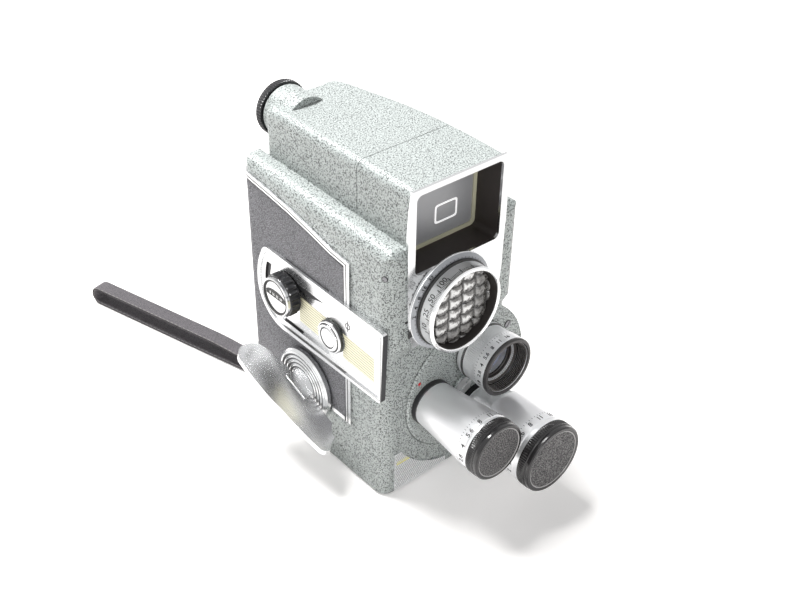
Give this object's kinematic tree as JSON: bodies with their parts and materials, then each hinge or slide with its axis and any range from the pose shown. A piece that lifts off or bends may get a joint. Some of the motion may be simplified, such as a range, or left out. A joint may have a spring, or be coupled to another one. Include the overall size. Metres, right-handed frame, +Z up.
{
  "type": "spring-driven cine camera",
  "caption": "Hand-held spring-wound cine camera with a three-lens turret, a honeycomb electric eye, a window finder, a hinged film door, a gear train and a wrist strap.",
  "frame": {"origin": "mouth of the tripod socket, in the middle of the flat base", "axes": "+Z up; the lenses look along -Y; winding key and controls on the -X side, film door on the +X side; eyepiece and strap towards +Y"},
  "size_m": [0.1052, 0.2609, 0.1543],
  "materials": {
    "hammertone": "grey-silver hammered enamel",
    "hammertone_dark": "taupe grey hammered enamel",
    "bright": "polished chrome",
    "satin": "satin anodised",
    "lens_silver": "fine turned and polished",
    "black_gloss": "black, moulded",
    "black_paint": "matt black",
    "leatherette": "grained, dark grey",
    "strap": "smooth dark leather",
    "glass_clear": "polished",
    "glass_coated": "coated",
    "cell": "selenium layer, brown-black",
    "gold": "pale gold lacquer",
    "brass_gear": "machined",
    "steel": "turned",
    "plate_steel": "straight grain",
    "scale_grey": "matt grey",
    "spool": "black moulded"
  },
  "bodies": {
    "casing": {"main_housing": "hammertone", "hinge_pin_lower": "steel", "hinge_pin_upper": "steel", "selenium_cell": "cell", "eye_tube": "black_paint", "honeycomb": "glass_clear", "exposure_scale": "scale_grey", "front_bezel": "bright", "finder_hood": "hammertone", "hood_lining": "black_paint", "finder_frame": "gold", "finder_front_glass": "glass_clear", "finder_housing": "hammertone", "finder_rear_lens": "glass_coated", "leather_key_side": "leatherette", "side_trim": "satin", "control_plate": "bright", "nameplate": "satin", "mechanism_plate": "plate_steel", "train_bridge": "brass_gear", "gate_plate": "bright", "tripod_bush": "steel", "strap_lug": "bright"},
    "film_door": {"film_door": "hammertone", "leather_door": "leatherette", "door_trim": "satin"},
    "door_latch": {"door_latch": "bright"},
    "turret": {"turret_disc": "hammertone_dark", "turret_pivot": "steel", "normal_barrel": "lens_silver", "normal_glass": "glass_coated", "tele_barrel": "lens_silver", "tele_glass": "glass_coated", "wide_barrel": "lens_silver", "wide_glass": "glass_coated"},
    "tele_cap": {"tele_cap": "black_gloss"},
    "wide_cap": {"wide_cap": "black_gloss"},
    "eye_ring": {"eye_ring": "lens_silver"},
    "eyepiece_ring": {"eyepiece_ring": "black_gloss"},
    "winding_key": {"winding_key": "bright", "wing_pin": "steel"},
    "key_wing": {"key_wing": "bright"},
    "speed_dial": {"speed_dial": "black_paint"},
    "run_button": {"run_button": "bright"},
    "barrel": {"mainspring_barrel": "brass_gear", "great_wheel": "brass_gear"},
    "back_arbor": {"back_arbor": "brass_gear"},
    "takeup": {"takeup_drive": "brass_gear", "takeup_spool": "spool"},
    "second_arbor": {"second_arbor": "brass_gear"},
    "drive_arbor": {"drive_arbor": "steel"},
    "governor": {"governor": "brass_gear"},
    "shutter": {"crown_wheel": "brass_gear", "shutter_disc": "black_paint"},
    "pressure_plate": {"pressure_plate": "bright"},
    "film_claw": {"film_claw": "steel"},
    "supply_spindle": {"supply_spindle": "bright"},
    "strap": {"wrist_strap": "strap"}
  },
  "joints": [
    {"name": "door_hinge", "type": "hinge", "parent": "casing", "child": "film_door", "pos_m": [0.02475, 0.0512, 0.06], "axis": [0, 0, 1], "range_deg": [0, 115]},
    {"name": "latch_turn", "type": "hinge", "parent": "film_door", "child": "door_latch", "pos_m": [0.0356, -0.028, 0.062], "axis": [1, 0, 0], "range_deg": [0, 90]},
    {"name": "turret_turn", "type": "hinge", "parent": "casing", "child": "turret", "pos_m": [0.0093, -0.0438, 0.0426], "axis": [0, -1, 0], "continuous": true},
    {"name": "tele_cap_pull", "type": "slide", "parent": "turret", "child": "tele_cap", "axis": [0, -1, 0], "range_m": [0, 0.015]},
    {"name": "wide_cap_pull", "type": "slide", "parent": "turret", "child": "wide_cap", "axis": [0, -1, 0], "range_m": [0, 0.015]},
    {"name": "eye_ring_turn", "type": "hinge", "parent": "casing", "child": "eye_ring", "pos_m": [-0.0031, -0.047, 0.0942], "axis": [0, -1, 0], "range_deg": [-60, 60]},
    {"name": "eyepiece_turn", "type": "hinge", "parent": "casing", "child": "eyepiece_ring", "pos_m": [-0.0098, 0.0506, 0.142], "axis": [0, 1, 0], "range_deg": [-45, 45]},
    {"name": "key_turn", "type": "hinge", "parent": "casing", "child": "winding_key", "pos_m": [-0.0344, 0.0072, 0.0344], "axis": [-1, 0, 0], "continuous": true},
    {"name": "wing_fold", "type": "hinge", "parent": "winding_key", "child": "key_wing", "pos_m": [-0.0404, 0.0072, 0.0344], "axis": [0, -0.9397, -0.342], "range_deg": [0, 90]},
    {"name": "dial_turn", "type": "hinge", "parent": "casing", "child": "speed_dial", "pos_m": [-0.0332, 0.0183, 0.077], "axis": [-1, 0, 0], "range_deg": [-120, 120]},
    {"name": "run_press", "type": "slide", "parent": "casing", "child": "run_button", "axis": [1, 0, 0], "range_m": [0, 0.0016], "stiffness_N_per_m": 300},
    {"name": "barrel_turn", "type": "hinge", "parent": "casing", "child": "barrel", "pos_m": [0, 0.0072, 0.0344], "axis": [1, 0, 0], "continuous": true},
    {"name": "back_arbor_turn", "type": "hinge", "parent": "casing", "child": "back_arbor", "pos_m": [0, -0.02221, 0.04029], "axis": [1, 0, 0], "continuous": true},
    {"name": "takeup_turn", "type": "hinge", "parent": "casing", "child": "takeup", "pos_m": [0, 0.0072, 0.0344], "axis": [1, 0, 0], "continuous": true},
    {"name": "second_arbor_turn", "type": "hinge", "parent": "casing", "child": "second_arbor", "pos_m": [0, -0.01839, 0.05583], "axis": [1, 0, 0], "continuous": true},
    {"name": "drive_arbor_turn", "type": "hinge", "parent": "casing", "child": "drive_arbor", "pos_m": [0, -0.0307, 0.058], "axis": [1, 0, 0], "continuous": true},
    {"name": "governor_turn", "type": "hinge", "parent": "casing", "child": "governor", "pos_m": [0, -0.01252, 0.06687], "axis": [1, 0, 0], "continuous": true},
    {"name": "shutter_turn", "type": "hinge", "parent": "casing", "child": "shutter", "pos_m": [0.0015, -0.0354, 0.058], "axis": [0, 1, 0], "continuous": true},
    {"name": "pressure_lift", "type": "slide", "parent": "casing", "child": "pressure_plate", "axis": [0, 1, 0], "range_m": [0, 0.0015], "stiffness_N_per_m": 80},
    {"name": "claw_stroke", "type": "slide", "parent": "casing", "child": "film_claw", "axis": [0, 0, 1], "range_m": [0, 0.00381]},
    {"name": "supply_turn", "type": "hinge", "parent": "casing", "child": "supply_spindle", "pos_m": [0.004, 0.017, 0.0885], "axis": [1, 0, 0], "continuous": true},
    {"name": "strap_swing", "type": "hinge", "parent": "casing", "child": "strap", "pos_m": [-0.0227, 0.0554, 0.0044], "axis": [1, 0, 0], "range_deg": [0, 80]}
  ],
  "couplings": [
    {"joint": "back_arbor_turn", "follows": "barrel_turn", "ratio": -4},
    {"joint": "takeup_turn", "follows": "barrel_turn", "ratio": 2.6667},
    {"joint": "second_arbor_turn", "follows": "barrel_turn", "ratio": 12},
    {"joint": "drive_arbor_turn", "follows": "barrel_turn", "ratio": -48},
    {"joint": "governor_turn", "follows": "barrel_turn", "ratio": -48},
    {"joint": "shutter_turn", "follows": "barrel_turn", "ratio": 15}
  ]
}
